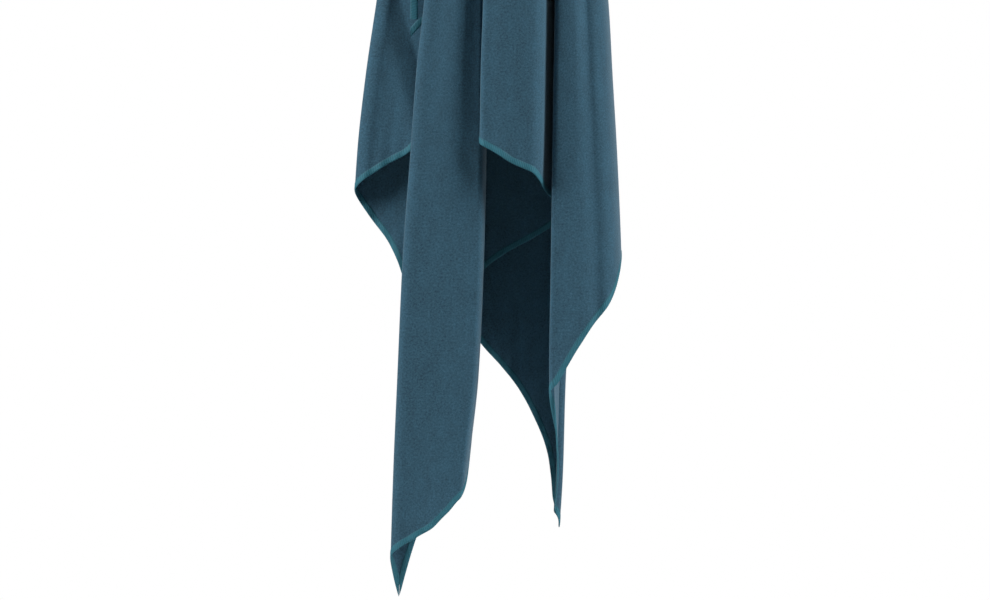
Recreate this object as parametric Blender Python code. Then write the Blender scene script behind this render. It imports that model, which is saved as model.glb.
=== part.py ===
"""Quick dry towel hanging in folds from a snap strap.

Metres, Z up.  The origin is inside the top of the strap loop, where a hook carries it.
The front of the towel faces -Y, the long lower side hangs lowest at its two corners.
"""
import functools
import math

import bmesh
import bpy
import numpy as np

# ---- driving dimensions (m) -------------------------------------------------
CLOTH_T = 0.0007          # thickness of the microfibre cloth
HEM_W = 0.0050            # width of the overlocked edge
HEM_T = 0.0014            # thickness of the overlocked edge
GAP = 0.0003              # clearance between neighbouring pieces
HEM_GAP = 0.0009          # clearance between the cloth and its steep lower edge
NECK = 0.0150             # distance from the sewing point to the gathered top row
NECK_END = 0.0340         # down to here the gathered folds stay together under the strap
SEW_Z = -0.0620           # height of the sewing point below the hook
DEPTH_SHIFT = -0.0075     # centres the bundle of folds under the hook
NECK_DEPTH = 0.205        # depth of the bundle at the neck, as a share of its full depth
FULL_R = 0.40             # distance below the sewing point where the folds are fully open
SHAPE_R = 0.55            # distance at which LAYER_SHAPE is dimensioned
ARC_REF = 0.60            # distance at which places along the hem are compared
SLIT = 0.012              # half the gap between two hem pieces at a towel corner

STRAP_W = 0.0160
STRAP_T = 0.0012
STRAP_END = -0.0560       # lower end of the free half
STRAP_SEWN_END = -0.0955  # lower end of the sewn half
FREE_Y = -0.0028          # middle of the free half at the snap
SNAP_Y = 0.0029           # middle of the sewn half at the snap
SEWN_Y = 0.0123           # middle of the sewn half where it lies on the gathered towel
HINGE = (0.0, 0.0, 0.0006)
SNAP_Z = -0.0480
CAP_R = 0.0062
SOCKET_R = 0.0052
STUD_R = 0.0048
POST_R = 0.0060
STITCH_Z = -0.0865        # middle of the stitched box
STITCH_HALF = (0.0060, 0.0068)
STITCH_W = 0.0007
STITCH_T = 0.0005

# Distances below the sewing point at which the fold lines are dimensioned.
STATIONS = (0.40, 0.46, 0.52, 0.60, 0.70, 0.78, 0.88)
# Spread of the folds between the gathered neck and the first station.
SPREAD = (0.015, 0.034, 0.05, 0.08, 0.12, 0.18, 0.25, 0.32)

# Fold lines in the order they follow one another along the cloth, in mm:
# name, sideways place at the neck, sideways place at each station,
# depth of the layer that arrives, depth of the layer that leaves, half width of the turn
FOLDS = (
    ("upper_edge_left", -6.2, (-66.5, -66.5, -66.5, -66.5, -66.5, -66.5, -66.5), -19, -19, 0),
    ("left_inner_turn", -2.7, (-26, -27, -28, -29, -30, -31, -32), -19, -11, 3.0),
    ("left_ridge", -8.8, (-94.2, -103, -109.6, -114, -117, -119, -121), -2, 14, 11.0),
    ("left_back_turn", -1.3, (-14, -15, -16, -18, -21.5, -26.5, -34), -1, -28, 9.0),
    ("front_left_ridge", -5.1, (-54.7, -61.3, -65.6, -71.6, -76.2, -79.6, -82.6), -28, -43, 9.0),
    ("front_right_ridge", 0.1, (-5.5, -5.9, -6.3, -8.0, -12.6, -21.3, -28), -40, 8, 5.5),
    ("back_turn_1", -5.2, (-40, -41, -42, -43, -44, -45, -46), 9, 34, 8.0),
    ("back_turn_2", 1.9, (20, 21, 22, 22, 22, 22, 22), 34, 41, 3.2),
    ("back_turn_3", -2.8, (-30, -31, -33, -34, -34, -34, -34), 41, 48, 3.2),
    ("back_turn_4", 5.6, (70, 73, 75, 77, 78, 78, 78), 48, 55, 3.2),
    ("back_turn_5", 1.8, (22, 24, 26, 27, 28, 28, 28), 55, 62, 3.2),
    ("right_ridge", 10.6, (92, 95.4, 98.9, 102.3, 105, 107, 109), 60, -29, 18.0),
    ("right_front_ridge", 4.9, (48.5, 47.5, 46.5, 45.4, 44.0, 48.4, 51), -38, -30, 3.0),
    ("tail_ridge", 7.4, (80, 79, 76.5, 69, 57.7, 55.2, 47.5), 4, 20, 5.0),
    ("dark_left_turn", -2.3, (-24, -25, -26, -27, -28, -29, -30), 26, 18, 3.2),
    ("dark_right_turn", 5.3, (70, 69.5, 68, 63, 58, 56, 54), 13, 7, 3.0),
    ("middle_ridge", -0.8, (-8.3, -10.2, -11.2, -12, -12.5, -13, -13.5), -53, -43, 4.0),
    ("upper_edge_right", 2.5, (26, 27, 28, 29, 29, 29, 29), -24, -24, 0),
)

# Extra depth control points of a layer (sideways place, depth), in mm, by its first fold.
LAYER_SHAPE = {
    "front_left_ridge": ((-38, -44.5),),
    "right_ridge": ((66, -37),),
    "right_front_ridge": ((56, -21), (66, -6)),
    "left_inner_turn": ((-56, -13),),
    "dark_right_turn": ((50, -6), (43.5, -16), (39.5, -28), (36, -41), (28, -50.5), (6, -55)),
}

# Hem: distance below the sewing point (mm) against the sideways place (mm), by layer or ridge.
HEM_LAYER = {
    "upper_edge_left": ((-50, 416),),
    "left_inner_turn": ((-67, 521), (-85, 531)),
    "left_ridge": ((-104.5, 568.5), (-97.6, 576), (-85.7, 592), (-77.8, 608), (-72, 625)),
    "left_back_turn": ((-61, 827), (-75, 867)),
    "front_left_ridge": ((-61, 827), (-49, 820), (-40.5, 811.5), (-35, 806), (-30, 800)),
    "front_right_ridge": ((-24, 690),),
    "right_ridge": ((81, 656.5), (73, 668), (65.9, 679), (57.7, 693), (50.8, 705)),
    "right_front_ridge": ((50.2, 757),),
    "tail_ridge": ((47.5, 800), (46, 782.5), (43.3, 764), (33.3, 736.5), (19, 710),
                   (5.6, 693), (-10.6, 675)),
    "dark_left_turn": ((-8, 615), (42.9, 583)),
    "dark_right_turn": ((46, 558), (36.5, 546), (29.4, 539), (14.3, 532.5), (-0.8, 523)),
}
HEM_RIDGE = {
    "left_inner_turn": 440,
    "left_ridge": 552,
    "left_back_turn": 742,
    "front_left_ridge": 845,
    "front_right_ridge": 773,
    "back_turn_1": 640,
    "back_turn_2": 612,
    "back_turn_3": 604,
    "back_turn_4": 600,
    "back_turn_5": 600,
    "right_ridge": 604,
    "right_front_ridge": 716,
    "tail_ridge": 823,
    "dark_left_turn": 646,
    "dark_right_turn": 566,
    "middle_ridge": 516,
}
# Hem distance at the two ends of the lower edge, and the towel corner just before a ridge.
HEM_ENDS = (430, 500)
CORNER_A = ("front_left_ridge", 0.072, 875.4)   # fold, share of its turn, distance
CORNER_B = ("tail_ridge", 0.5, 823)
STEEP_HEM = ("right_front_ridge", "tail_ridge")


# ---- smooth interpolation ---------------------------------------------------
def monotone(xs, ys, q, level_ends=False):
    """Monotone cubic curve through (xs, ys), evaluated at q."""
    xs = np.asarray(xs, float)
    ys = np.asarray(ys, float)
    q = np.clip(np.asarray(q, float), xs[0], xs[-1])
    h = np.diff(xs)
    d = np.diff(ys) / h
    m = np.zeros_like(ys)
    if not level_ends:
        m[0], m[-1] = d[0], d[-1]
    for k in range(1, len(xs) - 1):
        if d[k - 1] * d[k] > 0:
            w1, w2 = 2 * h[k] + h[k - 1], h[k] + 2 * h[k - 1]
            m[k] = (w1 + w2) / (w1 / d[k - 1] + w2 / d[k])
    i = np.clip(np.searchsorted(xs, q, side="right") - 1, 0, len(xs) - 2)
    t = (q - xs[i]) / h[i]
    a = 2 * t ** 3 - 3 * t ** 2 + 1
    b = t ** 3 - 2 * t ** 2 + t
    c = -2 * t ** 3 + 3 * t ** 2
    e = t ** 3 - t ** 2
    return a * ys[i] + b * h[i] * m[i] + c * ys[i + 1] + e * h[i] * m[i + 1]


def half_width(r):
    """Half width of the hanging bundle (mm): it flares out fast, then almost straight."""
    return 62 * (1 - np.exp(-r / 0.160)) + 93 * r


def open_share(r):
    """How far the gathered folds have opened at distance r (0 at the neck, 1 at FULL_R)."""
    share = (half_width(r) - half_width(NECK_END)) / (half_width(FULL_R) - half_width(NECK_END))
    return np.maximum(share, 0.0)


def fold_x(k, r):
    neck, xs = FOLDS[k][1:3]
    rs = SPREAD + STATIONS
    vals = [neck + (xs[0] - neck) * open_share(v) for v in SPREAD] + list(xs)
    return monotone(rs, vals, r) / 1000


def depth_scale(r):
    return NECK_DEPTH + (1 - NECK_DEPTH) * open_share(np.minimum(r, FULL_R))


# ---- the folded middle surface ----------------------------------------------
N_LAYERS = len(FOLDS) - 1


def layer_ends(k, r):
    """Sideways places between which layer k runs, turns left out, at distance r."""
    reach = depth_scale(r) / 1000 * (1 if FOLDS[k + 1][2][0] > FOLDS[k][2][0] else -1)
    return fold_x(k, r) + reach * FOLDS[k][5], fold_x(k + 1, r) - reach * FOLDS[k + 1][5]


def layer_point(k, t, r):
    """Place and depth on layer k, t from 0 to 1 across it."""
    xa, xb = layer_ends(k, r)
    knots = LAYER_SHAPE.get(FOLDS[k][0], ())
    x0, x1 = layer_ends(k, SHAPE_R)
    ts = [0.0] + [float((x / 1000 - x0) / (x1 - x0)) for x, _ in knots] + [1.0]
    ys = [FOLDS[k][4]] + [y for _, y in knots] + [FOLDS[k + 1][3]]
    return xa + (xb - xa) * t, monotone(ts, ys, t, level_ends=True) * depth_scale(r) / 1000


def turn_point(k, t, r):
    """Turn at fold k, t from 0 (arriving layer) to 1 (leaving layer)."""
    y_in, y_out, width = FOLDS[k][3:]
    s = depth_scale(r) / 1000
    side = 1 if FOLDS[k][2][0] > FOLDS[k - 1][2][0] else -1
    x = fold_x(k, r) - side * width * s * (1 - math.sin(math.pi * t))
    y = (y_in + y_out + (y_in - y_out) * math.cos(math.pi * t)) / 2 * s
    return x, y


def surface(u, r):
    """u runs 0..1 along layer 0, 1..2 round fold 1, 2..3 along layer 1 and so on."""
    k = min(int(u), 2 * N_LAYERS - 2)
    t = u - k
    if k % 2 == 0:
        x, y = layer_point(k // 2, t, r)
    else:
        x, y = turn_point((k + 1) // 2, t, r)
    return np.array((float(x), float(y) + DEPTH_SHIFT * float(depth_scale(r)), SEW_Z - float(r)))


U_END = 2 * N_LAYERS - 1


def arc_table(r, steps):
    """Arc length along the cloth at distance r, against u."""
    us = np.linspace(0, U_END, steps * U_END + 1)
    pts = np.array([surface(u, r) for u in us])
    seg = np.linalg.norm(np.diff(pts, axis=0), axis=1)
    return us, np.concatenate(([0], np.cumsum(seg)))


ARC_U, ARC_S = arc_table(ARC_REF, 60)


def hem_table():
    knots = [(0, HEM_ENDS[0]), (U_END, HEM_ENDS[1])]
    for k, f in enumerate(FOLDS):
        if f[0] in HEM_RIDGE:
            knots.append((2 * k - 0.5, HEM_RIDGE[f[0]]))
        if f[0] == CORNER_A[0]:
            knots.append((2 * k - 1 + CORNER_A[1], CORNER_A[2]))
        for x, length in HEM_LAYER.get(f[0], ()):
            xa, xb = layer_ends(k, length / 1000)
            t = float((x / 1000 - xa) / (xb - xa))
            if -0.001 < t < 1.001:
                knots.append((2 * k + min(max(t, 0), 1), length))
    knots.sort()
    s = np.interp([u for u, _ in knots], ARC_U, ARC_S)
    return s, np.array([v for _, v in knots]) / 1000


HEM_S, HEM_L = hem_table()
A_INDEX = int(np.argmax(HEM_L))
B_INDEX = int(np.argmin(np.abs(HEM_L - CORNER_B[2] / 1000)))


def hem_at(u):
    """Distance of the hem below the sewing point at place u along the cloth."""
    s = np.interp(u, ARC_U, ARC_S)
    cuts = [0, A_INDEX, B_INDEX, len(HEM_S) - 1]
    piece = int(s > HEM_S[A_INDEX]) + int(s > HEM_S[B_INDEX])
    a, b = cuts[piece], cuts[piece + 1]
    return float(monotone(HEM_S[a:b + 1], HEM_L[a:b + 1], s))


U_A = float(np.interp(HEM_S[A_INDEX], ARC_S, ARC_U))
U_B = float(np.interp(HEM_S[B_INDEX], ARC_S, ARC_U))
FINE_U = np.linspace(0, U_END, 160 * U_END + 1)
FINE_L = np.array([hem_at(u) for u in FINE_U])


def inner_edge(u, width):
    """Where the line `width` inside the hem crosses column u (distance below the sewing point)."""
    near = np.abs(FINE_U - u) < 1.7
    us, ls = FINE_U[near], FINE_L[near]
    own = hem_at(u) - width
    r = own
    for _ in range(4):
        s = np.abs(arc_at(us, r) - arc_at(u, r))
        ok = s < width
        r = min(own, float(np.min(ls[ok] - np.sqrt(width ** 2 - s[ok] ** 2))))
    return r


@functools.cache
def arc_row(step):
    """Arc table kept for every 5 mm below the sewing point."""
    return arc_table(max(step / 200, NECK), 24)


def arc_at(u, r):
    """Arc length along the cloth at place u and distance r."""
    return np.interp(u, *arc_row(round(r * 200)))


def normal(u, r):
    du = 0.02
    ua, ub = max(u - du, 0), min(u + du, U_END)
    p = surface(ub, r) - surface(ua, r)
    q = surface(u, r + 0.002) - surface(u, r - 0.002)
    n = np.cross(p, q)
    return n / max(np.linalg.norm(n), 1e-12)


# ---- mesh helpers -----------------------------------------------------------
def clear_scene():
    for obj in list(bpy.data.objects):
        bpy.data.objects.remove(obj, do_unlink=True)


def material(name, colour, roughness, metallic=0.0):
    mat = bpy.data.materials.new(name)
    mat.use_nodes = True
    bsdf = mat.node_tree.nodes["Principled BSDF"]
    bsdf.inputs["Base Color"].default_value = (*colour, 1.0)
    bsdf.inputs["Roughness"].default_value = roughness
    bsdf.inputs["Metallic"].default_value = metallic
    mat.diffuse_color = (*colour, 1.0)
    return mat


def add_object(name, verts, faces, mat, origin=(0.0, 0.0, 0.0)):
    mesh = bpy.data.meshes.new(name)
    shift = [tuple(v[i] - origin[i] for i in range(3)) for v in verts]
    mesh.from_pydata(shift, [], faces)
    bm = bmesh.new()
    bm.from_mesh(mesh)
    bmesh.ops.recalc_face_normals(bm, faces=bm.faces)
    bmesh.ops.triangulate(bm, faces=bm.faces)
    if bm.calc_volume(signed=True) < 0:
        bmesh.ops.reverse_faces(bm, faces=bm.faces)
    bm.to_mesh(mesh)
    bm.free()
    mesh.materials.append(mat)
    obj = bpy.data.objects.new(name, mesh)
    obj.location = origin
    bpy.context.collection.objects.link(obj)
    return obj


def slab(name, columns, thick, mat):
    """Closed sheet from columns of (u, [r0, r1, ...]) points, all of one length."""
    front, back = [], []
    for u, rows in columns:
        for r in rows:
            p, n = surface(u, r), normal(u, r)
            front.append(p - n * thick / 2)
            back.append(p + n * thick / 2)
    nc, nr = len(columns), len(columns[0][1])
    verts = [tuple(v) for v in front + back]
    off = nc * nr
    faces = []
    for c in range(nc - 1):
        for w in range(nr - 1):
            a, b = c * nr + w, (c + 1) * nr + w
            faces.append((a, b, b + 1, a + 1))
            faces.append((off + a, off + a + 1, off + b + 1, off + b))
    for c in range(nc - 1):
        for w in (0, nr - 1):
            a, b = c * nr + w, (c + 1) * nr + w
            faces.append((a, b, off + b, off + a) if w else (b, a, off + a, off + b))
    for w in range(nr - 1):
        for c in (0, nc - 1):
            a = c * nr + w
            faces.append((a, a + 1, off + a + 1, off + a) if c else (a + 1, a, off + a, off + a + 1))
    return add_object(name, verts, faces, mat)


def column_count(k):
    """Columns on stretch k: more on a bent layer, round a wide turn and where the hem is steep."""
    fold = FOLDS[(k + 1) // 2]
    if k % 2 == 0:
        return 4 + len(LAYER_SHAPE.get(fold[0], ()))
    if fold[0] in STEEP_HEM:
        return 12
    return 8 if abs(fold[3] - fold[4]) > 12 else 5


def column_places(first, last):
    """Places of the columns between two ends, with one at each cut between pieces."""
    places = [k + j / column_count(k) for k in range(U_END) for j in range(column_count(k))]
    places.append(U_END)
    extra = [along(0, HEM_W + GAP), U_A - SLIT, U_A + SLIT, U_B - SLIT, U_B + SLIT,
             along(U_END, -(HEM_W + GAP))]
    near = [u for u in places if all(abs(u - v) > 0.05 for v in extra)]
    inside = [u for u in near if first + 0.04 < u < last - 0.04]
    return [first] + sorted(inside + [v for v in extra if first < v < last]) + [last]


def along(u, s):
    """Place at arc distance s from u, measured where the folds are nearly open."""
    us, arc = arc_row(60)
    return float(np.interp(np.interp(u, us, arc) + s, arc, us))


# ---- towel ------------------------------------------------------------------
UPPER_ROWS = (0.015, 0.034, 0.050, 0.070, 0.100, 0.140, 0.190, 0.250, 0.320, 0.390)
LOWER_SHARE = (0.2, 0.4, 0.6, 0.8, 1.0)


def cloth(mat):
    first, last = along(0, HEM_W + GAP), along(U_END, -(HEM_W + GAP))
    cols = []
    for u in column_places(first, last):
        top, end = UPPER_ROWS[-1], inner_edge(u, HEM_W + HEM_GAP)
        cols.append((u, list(UPPER_ROWS) + [top + (end - top) * v for v in LOWER_SHARE]))
    return slab("towel_cloth", cols, CLOTH_T, mat)


def hem_run(name, first, last, mat):
    cols = [(u, [inner_edge(u, HEM_W), hem_at(u)]) for u in column_places(first, last)]
    return slab(name, cols, HEM_T, mat)


def hem_edge(name, u_a, u_b, end, mat):
    rows = list(UPPER_ROWS[2:]) + [end]
    return slab(name, [(u_a, rows), (u_b, rows)], HEM_T, mat)


def hems(mat):
    hem_run("hem_left_side", 0.0, U_A - SLIT, mat)
    hem_run("hem_lower_side", U_A + SLIT, U_B - SLIT, mat)
    hem_run("hem_right_side", U_B + SLIT, float(U_END), mat)
    inside_l = along(0, HEM_W)
    inside_r = along(U_END, -HEM_W)
    end_l = min(inner_edge(0.0, HEM_W), inner_edge(inside_l, HEM_W)) - GAP
    end_r = min(inner_edge(float(U_END), HEM_W), inner_edge(inside_r, HEM_W)) - GAP
    hem_edge("hem_upper_left", 0.0, inside_l, end_l, mat)
    hem_edge("hem_upper_right", inside_r, float(U_END), end_r, mat)


# ---- strap and snap ---------------------------------------------------------
def strap_path(half):
    """Middle line of one strap half in the YZ plane, from the top of the loop down."""
    if half == "sewn":
        pts = [(0.0010, 0.0006), (0.0052, -0.0022), (0.0088, -0.0085), (0.0098, -0.0180),
               (0.0084, -0.0270), (0.0052, -0.0350), (SNAP_Y, -0.0410), (SNAP_Y, -0.0550),
               (0.0050, -0.0610), (0.0098, -0.0690), (SEWN_Y, -0.0765), (SEWN_Y, STRAP_SEWN_END)]
    else:
        pts = [(0.0000, 0.0006), (-0.0048, -0.0022), (-0.0084, -0.0085), (-0.0094, -0.0180),
               (-0.0080, -0.0270), (-0.0050, -0.0350), (FREE_Y, -0.0410), (FREE_Y, STRAP_END)]
    pts = np.array(pts)
    chord = np.concatenate(([0], np.cumsum(np.linalg.norm(np.diff(pts, axis=0), axis=1))))
    n = 26 if half == "sewn" else 18
    q = np.linspace(0, chord[-1], n)
    return np.array([(monotone(chord, pts[:, 0], v), monotone(chord, pts[:, 1], v)) for v in q])


def strap(name, half, mat, origin=(0.0, 0.0, 0.0)):
    path = strap_path(half)
    tangent = np.gradient(path, axis=0)
    tangent /= np.linalg.norm(tangent, axis=1)[:, None]
    side = np.stack((-tangent[:, 1], tangent[:, 0]), axis=1)
    verts, faces = [], []
    for p, s in zip(path, side):
        for x, d in ((-1, -1), (1, -1), (1, 1), (-1, 1)):
            y, z = p + s * d * STRAP_T / 2
            verts.append((x * STRAP_W / 2, y, z))
    n = len(path)
    for i in range(n - 1):
        for j in range(4):
            a, b = 4 * i + j, 4 * i + (j + 1) % 4
            faces.append((a, b, b + 4, a + 4))
    faces.append((0, 3, 2, 1))
    faces.append((4 * n - 4, 4 * n - 3, 4 * n - 2, 4 * n - 1))
    return add_object(name, verts, faces, mat, origin)


def lathe(name, profile, mat, origin=(0.0, 0.0, 0.0), segments=24, ring=False):
    """Turned part about the snap axis (along Y).  Profile is (radius, y) outside to inside."""
    verts, faces = [], []
    rings = []
    for rad, y in profile:
        if rad < 1e-7:
            rings.append([len(verts)])
            verts.append((0.0, y, SNAP_Z))
            continue
        rings.append(list(range(len(verts), len(verts) + segments)))
        for j in range(segments):
            a = 2 * math.pi * j / segments
            verts.append((rad * math.cos(a), y, SNAP_Z + rad * math.sin(a)))
    pairs = list(zip(rings[:-1], rings[1:]))
    if ring:
        pairs.append((rings[-1], rings[0]))
    for a, b in pairs:
        for j in range(segments):
            k = (j + 1) % segments
            if len(a) == 1:
                faces.append((a[0], b[j], b[k]))
            elif len(b) == 1:
                faces.append((a[j], b[0], a[k]))
            else:
                faces.append((a[j], b[j], b[k], a[k]))
    return add_object(name, verts, faces, mat, origin)


def stitch_box(name, mat):
    """One rectangle of sewing thread on the outside of the sewn strap end."""
    inner = SEWN_Y + STRAP_T / 2 + GAP
    w, h = STITCH_HALF
    verts, faces = [], []
    for y in (inner, inner + STITCH_T):
        for cut in (0, STITCH_W):
            for sx, sz in ((-1, -1), (1, -1), (1, 1), (-1, 1)):
                verts.append((sx * (w - cut), y, STITCH_Z + sz * (h - cut)))
    for j in range(4):
        k = (j + 1) % 4
        faces.append((j, k, 4 + k, 4 + j))
        faces.append((8 + j, 12 + j, 12 + k, 8 + k))
        faces.append((j, 8 + j, 8 + k, k))
        faces.append((4 + j, 4 + k, 12 + k, 12 + j))
    return add_object(name, verts, faces, mat)


def hardware(strap_mat, cap_mat, metal_mat, thread_mat):
    strap("strap_sewn_half", "sewn", strap_mat)
    strap("strap_free_half", "free", strap_mat, HINGE)
    outer_free = FREE_Y - STRAP_T / 2 - GAP
    inner_free = FREE_Y + STRAP_T / 2 + GAP
    inner_sewn = SNAP_Y - STRAP_T / 2 - GAP
    outer_sewn = SNAP_Y + STRAP_T / 2 + GAP
    cap = ((0, 0), (CAP_R, 0), (CAP_R, 0.0007), (CAP_R * 0.82, 0.0015), (CAP_R * 0.45, 0.0020),
           (0, 0.0021))
    socket = ((SOCKET_R, 0), (SOCKET_R, 0.0008), (0.0036, 0.0016), (0.0026, 0.0016), (0.0024, 0))
    stud = ((0, 0), (STUD_R, 0), (STUD_R, 0.0005), (0.0017, 0.0007), (0.0017, 0.0014),
            (0.0020, 0.0019), (0.0014, 0.0024), (0, 0.0025))
    post = ((0, 0), (POST_R, 0), (POST_R, 0.0006), (POST_R * 0.8, 0.0012), (0, 0.0015))
    lathe("snap_cap", [(r, outer_free - y) for r, y in cap], cap_mat, HINGE)
    lathe("snap_socket", [(r, inner_free + y) for r, y in socket], metal_mat, HINGE, ring=True)
    lathe("snap_stud", [(r, inner_sewn - y) for r, y in stud], metal_mat)
    lathe("snap_post", [(r, outer_sewn + y) for r, y in post], cap_mat)
    stitch_box("strap_stitch", thread_mat)


def main():
    clear_scene()
    suede = material("suede_microfibre", (0.055, 0.130, 0.175), 0.85)
    thread = material("overlock_thread", (0.050, 0.170, 0.220), 0.75)
    webbing = material("strap_webbing", (0.050, 0.110, 0.150), 0.80)
    plastic = material("snap_plastic", (0.030, 0.060, 0.080), 0.45)
    metal = material("snap_metal", (0.62, 0.64, 0.66), 0.30, 1.0)
    cloth(suede)
    hems(thread)
    hardware(webbing, plastic, metal, thread)


main()
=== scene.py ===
"""The quick dry towel's looks: fine folded suede cloth, overlocked edges, strap and snap."""

import math

import bmesh
import bpy
import numpy as np
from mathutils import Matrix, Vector


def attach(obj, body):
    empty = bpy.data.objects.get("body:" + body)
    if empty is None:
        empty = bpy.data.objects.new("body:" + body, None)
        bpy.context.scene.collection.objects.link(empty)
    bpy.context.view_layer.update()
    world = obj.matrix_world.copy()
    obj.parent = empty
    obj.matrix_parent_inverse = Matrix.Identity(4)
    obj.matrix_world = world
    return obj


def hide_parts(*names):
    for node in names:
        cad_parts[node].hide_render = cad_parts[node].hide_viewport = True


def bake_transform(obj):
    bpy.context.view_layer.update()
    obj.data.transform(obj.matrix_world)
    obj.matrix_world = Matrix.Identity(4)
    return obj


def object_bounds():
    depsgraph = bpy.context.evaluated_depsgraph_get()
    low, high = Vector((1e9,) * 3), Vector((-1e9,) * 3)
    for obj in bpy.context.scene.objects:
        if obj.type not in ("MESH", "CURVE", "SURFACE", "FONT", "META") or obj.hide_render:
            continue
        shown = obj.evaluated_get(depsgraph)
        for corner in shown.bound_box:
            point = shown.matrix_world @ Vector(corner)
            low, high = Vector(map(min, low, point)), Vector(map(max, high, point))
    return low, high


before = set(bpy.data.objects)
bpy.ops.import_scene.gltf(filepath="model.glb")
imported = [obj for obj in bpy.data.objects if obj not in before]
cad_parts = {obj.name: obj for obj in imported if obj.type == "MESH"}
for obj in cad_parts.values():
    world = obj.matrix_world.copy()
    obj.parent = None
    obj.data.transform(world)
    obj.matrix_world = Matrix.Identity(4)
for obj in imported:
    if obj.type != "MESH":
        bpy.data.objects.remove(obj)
CAD_BOX = [list(c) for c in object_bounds()]

# ---- the towel's plan, as in the CAD model (metres unless said) -------------
CLOTH_T = 0.0007
HEM_W = 0.0050
HEM_T = 0.0014
GAP = 0.0003
NECK = 0.0150
NECK_END = 0.0340
SEW_Z = -0.0620
DEPTH_SHIFT = -0.0075
NECK_DEPTH = 0.205
FLARE = (62, 0.160)       # half width gained near the neck (mm), and over what distance (m)
WIDENING = 93             # half width gained for each metre below (mm)
FULL_R = 0.40
SHAPE_R = 0.55
ARC_REF = 0.60
ARC_STEPS = 24            # points along each layer and turn where arc length is measured
ARC_END = 0.885
ARC_ROW = 0.005           # height between two rows of the arc table
STATIONS = (0.40, 0.46, 0.52, 0.60, 0.70, 0.78, 0.88)
SPREAD = (0.015, 0.034, 0.05, 0.08, 0.12, 0.18, 0.25, 0.32)

# Fold lines along the cloth (mm): name, sideways place at the neck and at each station,
# depth of the layer that arrives and of the layer that leaves, half width of the turn.
FOLDS = (
    ("upper_edge_left", -6.2, (-66.5, -66.5, -66.5, -66.5, -66.5, -66.5, -66.5), -19, -19, 0),
    ("left_inner_turn", -2.7, (-26, -27, -28, -29, -30, -31, -32), -19, -11, 3.0),
    ("left_ridge", -8.8, (-94.2, -103, -109.6, -114, -117, -119, -121), -2, 14, 11.0),
    ("left_back_turn", -1.3, (-14, -15, -16, -18, -21.5, -26.5, -34), -1, -28, 9.0),
    ("front_left_ridge", -5.1, (-54.7, -61.3, -65.6, -71.6, -76.2, -79.6, -82.6), -28, -43, 9.0),
    ("front_right_ridge", 0.1, (-5.5, -5.9, -6.3, -8.0, -12.6, -21.3, -28), -40, 8, 5.5),
    ("back_turn_1", -5.2, (-40, -41, -42, -43, -44, -45, -46), 9, 34, 8.0),
    ("back_turn_2", 1.9, (20, 21, 22, 22, 22, 22, 22), 34, 41, 3.2),
    ("back_turn_3", -2.8, (-30, -31, -33, -34, -34, -34, -34), 41, 48, 3.2),
    ("back_turn_4", 5.6, (70, 73, 75, 77, 78, 78, 78), 48, 55, 3.2),
    ("back_turn_5", 1.8, (22, 24, 26, 27, 28, 28, 28), 55, 62, 3.2),
    ("right_ridge", 10.6, (92, 95.4, 98.9, 102.3, 105, 107, 109), 60, -29, 18.0),
    ("right_front_ridge", 4.9, (48.5, 47.5, 46.5, 45.4, 44.0, 48.4, 51), -38, -30, 3.0),
    ("tail_ridge", 7.4, (80, 79, 76.5, 69, 57.7, 55.2, 47.5), 4, 20, 5.0),
    ("dark_left_turn", -2.3, (-24, -25, -26, -27, -28, -29, -30), 26, 18, 3.2),
    ("dark_right_turn", 5.3, (70, 69.5, 68, 63, 58, 56, 54), 13, 7, 3.0),
    ("middle_ridge", -0.8, (-8.3, -10.2, -11.2, -12, -12.5, -13, -13.5), -53, -43, 4.0),
    ("upper_edge_right", 2.5, (26, 27, 28, 29, 29, 29, 29), -24, -24, 0),
)
# More depths of a layer (sideways place, depth), in mm, by the fold it starts at.
LAYER_SHAPE = {
    "front_left_ridge": ((-38, -44.5),),
    "right_ridge": ((66, -37),),
    "right_front_ridge": ((56, -21), (66, -6)),
    "left_inner_turn": ((-56, -13),),
    "dark_right_turn": ((50, -6), (43.5, -16), (39.5, -28), (36, -41), (28, -50.5), (6, -55)),
}
# Hem: distance below the sewing point (mm) against the sideways place (mm), by layer or ridge.
HEM_LAYER = {
    "upper_edge_left": ((-50, 416),),
    "left_inner_turn": ((-67, 521), (-85, 531)),
    "left_ridge": ((-104.5, 568.5), (-97.6, 576), (-85.7, 592), (-77.8, 608), (-72, 625)),
    "left_back_turn": ((-61, 827), (-75, 867)),
    "front_left_ridge": ((-61, 827), (-49, 820), (-40.5, 811.5), (-35, 806), (-30, 800)),
    "front_right_ridge": ((-24, 690),),
    "right_ridge": ((81, 656.5), (73, 668), (65.9, 679), (57.7, 693), (50.8, 705)),
    "right_front_ridge": ((50.2, 757),),
    "tail_ridge": ((47.5, 800), (46, 782.5), (43.3, 764), (33.3, 736.5), (19, 710),
                   (5.6, 693), (-10.6, 675)),
    "dark_left_turn": ((-8, 615), (42.9, 583)),
    "dark_right_turn": ((46, 558), (36.5, 546), (29.4, 539), (14.3, 532.5), (-0.8, 523)),
}
HEM_RIDGE = {
    "left_inner_turn": 440,
    "left_ridge": 552,
    "left_back_turn": 742,
    "front_left_ridge": 845,
    "front_right_ridge": 773,
    "back_turn_1": 640,
    "back_turn_2": 612,
    "back_turn_3": 604,
    "back_turn_4": 600,
    "back_turn_5": 600,
    "right_ridge": 604,
    "right_front_ridge": 716,
    "tail_ridge": 823,
    "dark_left_turn": 646,
    "dark_right_turn": 566,
    "middle_ridge": 516,
}
# Hem distance at the two ends of the lower edge, and the towel corner just before a ridge.
HEM_ENDS = (430, 500)
CORNER_A = ("front_left_ridge", 0.072, 875.4)   # fold, share of its turn, distance
CORNER_B = ("tail_ridge", 0.5, 823)

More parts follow.
